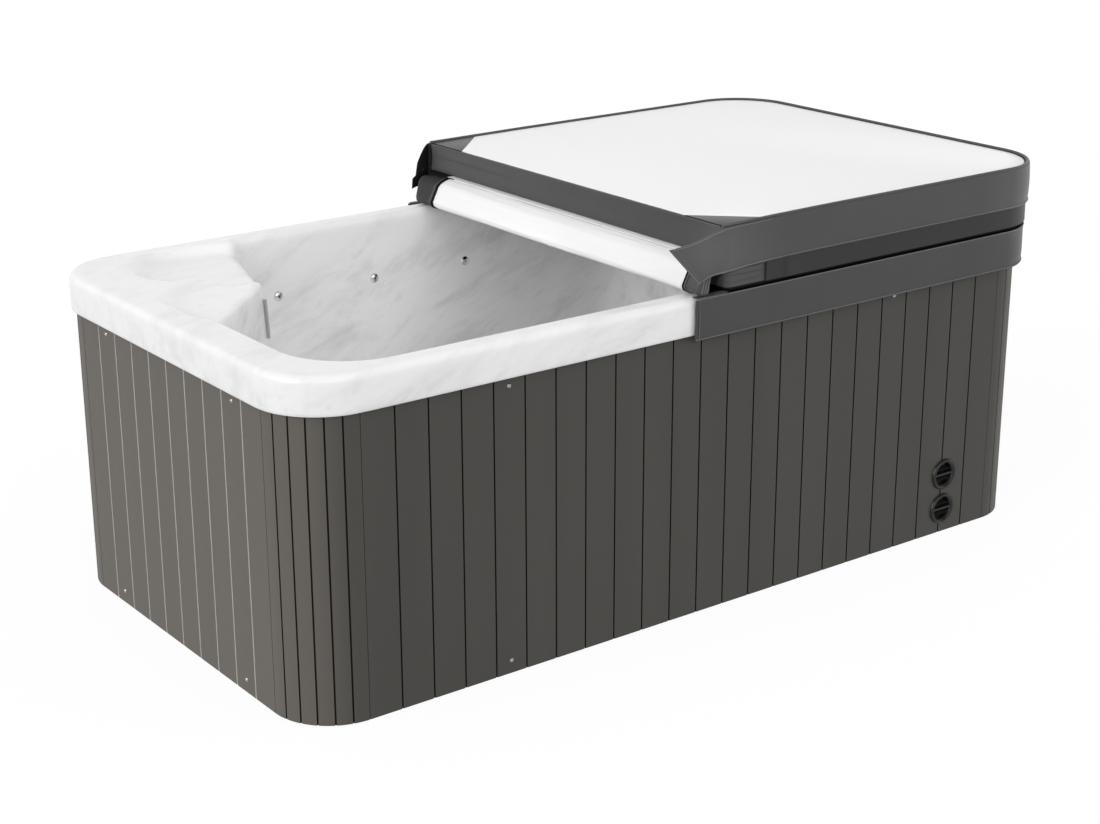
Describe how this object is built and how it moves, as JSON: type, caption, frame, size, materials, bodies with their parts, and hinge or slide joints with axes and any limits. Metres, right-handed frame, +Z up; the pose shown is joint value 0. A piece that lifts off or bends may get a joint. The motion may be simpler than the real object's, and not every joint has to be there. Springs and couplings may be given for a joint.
{
  "type": "hot tub",
  "caption": "Compact rectangular hot tub: moulded acrylic shell in a boarded cabinet, with equipment under one deck and a padded folding cover folded back over half of it",
  "frame": {"origin": "centre of the floor pan's underside, on the floor", "axes": "+X along the tub towards the equipment bay, +Y away from the long side with the vents, +Z up"},
  "size_m": [2.2245, 1.2146, 0.9417],
  "materials": {
    "pan": "black moulded floor pan",
    "timber": "planed softwood",
    "cabinet_long": "embossed warm dark grey composite boards",
    "cabinet_end": "embossed warm grey composite boards",
    "acrylic": "glossy white acrylic with faint grey marbling",
    "stainless": "brushed stainless steel",
    "chrome": "polished chrome plate",
    "black_plastic": "satin black moulded plastic",
    "white_plastic": "smooth white plastic",
    "grey_plastic": "satin grey plastic",
    "lens": "clear domed lens",
    "lamp_grey": "frosted grey diffuser",
    "filter_media": "pleated spunbonded fabric",
    "pump_black": "glass filled plastic",
    "motor_paint": "dark blue enamel",
    "box_grey": "grey powder coat",
    "pipe": "white pressure pipe",
    "vinyl": "embossed charcoal vinyl-coated fabric over foam",
    "liner": "smooth white vapour barrier"
  },
  "bodies": {
    "tub": {"base_pan": "pan", "lower_frame": "timber", "frame_posts": "timber", "upper_frame": "timber", "shell_cradle": "timber", "front_panel": "cabinet_long", "back_panel": "cabinet_long", "low_end_panel": "cabinet_end", "bay_end_panel": "cabinet_end", "front_low_corner": "cabinet_end", "back_low_corner": "cabinet_end", "front_bay_corner": "cabinet_end", "back_bay_corner": "cabinet_end", "panel_screws": "stainless", "upper_vent": "black_plastic", "lower_vent": "black_plastic", "tub_shell": "acrylic", "nose_lamp": "lamp_grey", "wall_jets": "chrome", "back_jet_bodies": "chrome", "suction_covers": "white_plastic", "floor_drain": "white_plastic", "lamp_lens": "lens", "lamp_housing": "white_plastic", "keypad_bezel": "black_plastic", "air_valve": "white_plastic", "diverter_valve": "white_plastic", "filter_housing": "white_plastic", "filter_cartridge": "filter_media", "pump_motor": "motor_paint", "pump_wet_end": "pump_black", "control_box": "box_grey", "heater_tube": "stainless", "air_blower": "white_plastic", "suction_pipe": "pipe", "pressure_pipe": "pipe", "return_pipe": "pipe", "air_pipe": "pipe"},
    "skirt_top": {"upper_cover_skirt": "vinyl"},
    "cover_base": {"lower_cover_pad": "vinyl", "lower_cover_skirt": "vinyl", "heat_seal_roll": "liner", "heat_seal_ends": "vinyl", "lower_hinge_web": "vinyl"},
    "cover_top": {"upper_cover_pad": "vinyl", "upper_hinge_web": "vinyl", "cover_liner": "liner", "corner_patches": "vinyl"},
    "jet_face_1": {"back_jet_face_1": "chrome"},
    "jet_face_2": {"back_jet_face_2": "chrome"},
    "button_1": {"keypad_button_1": "grey_plastic"},
    "button_2": {"keypad_button_2": "grey_plastic"},
    "button_3": {"keypad_button_3": "grey_plastic"},
    "button_4": {"keypad_button_4": "grey_plastic"},
    "air_turn": {"air_knob": "grey_plastic"},
    "diverter_turn": {"diverter_knob": "grey_plastic"},
    "filter_top": {"filter_lid": "white_plastic"}
  },
  "joints": [
    {"name": "cover_lift", "type": "slide", "parent": "tub", "child": "cover_base", "axis": [0, 0, 1], "range_m": [0, 0.5]},
    {"name": "cover_fold", "type": "hinge", "parent": "cover_base", "child": "cover_top", "pos_m": [-0.022, 0, 0.8595], "axis": [0, -1, 0], "range_deg": [0, 180], "deforming": ["heat_seal_roll", "heat_seal_ends"]},
    {"name": "skirt_drop", "type": "slide", "parent": "cover_top", "child": "skirt_top", "axis": [0, 0, 1], "range_m": [0, 0.102]},
    {"name": "jet_face_1_turn", "type": "hinge", "parent": "tub", "child": "jet_face_1", "pos_m": [-0.95427, -0.28, 0.575], "axis": [-0.9767, 0, -0.2145], "continuous": true},
    {"name": "jet_face_2_turn", "type": "hinge", "parent": "tub", "child": "jet_face_2", "pos_m": [-0.95427, -0.15, 0.575], "axis": [-0.9767, 0, -0.2145], "continuous": true},
    {"name": "button_1_press", "type": "slide", "parent": "tub", "child": "button_1", "axis": [0, 0, -1], "range_m": [0, 0.0012], "stiffness_N_per_m": 400, "springref_m": -0.001},
    {"name": "button_2_press", "type": "slide", "parent": "tub", "child": "button_2", "axis": [0, 0, -1], "range_m": [0, 0.0012], "stiffness_N_per_m": 400, "springref_m": -0.001},
    {"name": "button_3_press", "type": "slide", "parent": "tub", "child": "button_3", "axis": [0, 0, -1], "range_m": [0, 0.0012], "stiffness_N_per_m": 400, "springref_m": -0.001},
    {"name": "button_4_press", "type": "slide", "parent": "tub", "child": "button_4", "axis": [0, 0, -1], "range_m": [0, 0.0012], "stiffness_N_per_m": 400, "springref_m": -0.001},
    {"name": "air_knob_turn", "type": "hinge", "parent": "tub", "child": "air_turn", "pos_m": [0.705, -0.33, 0.772], "axis": [0, 0, 1], "range_deg": [0, 180]},
    {"name": "diverter_knob_turn", "type": "hinge", "parent": "tub", "child": "diverter_turn", "pos_m": [0.705, -0.22, 0.772], "axis": [0, 0, 1], "range_deg": [0, 180]},
    {"name": "filter_lid_twist", "type": "hinge", "parent": "tub", "child": "filter_top", "pos_m": [0.835, 0.29, 0.772], "axis": [0, 0, 1], "range_deg": [0, 45]}
  ],
  "couplings": [
    {"joint": "skirt_drop", "follows": "cover_fold", "m_per_rad": 0.032468}
  ]
}
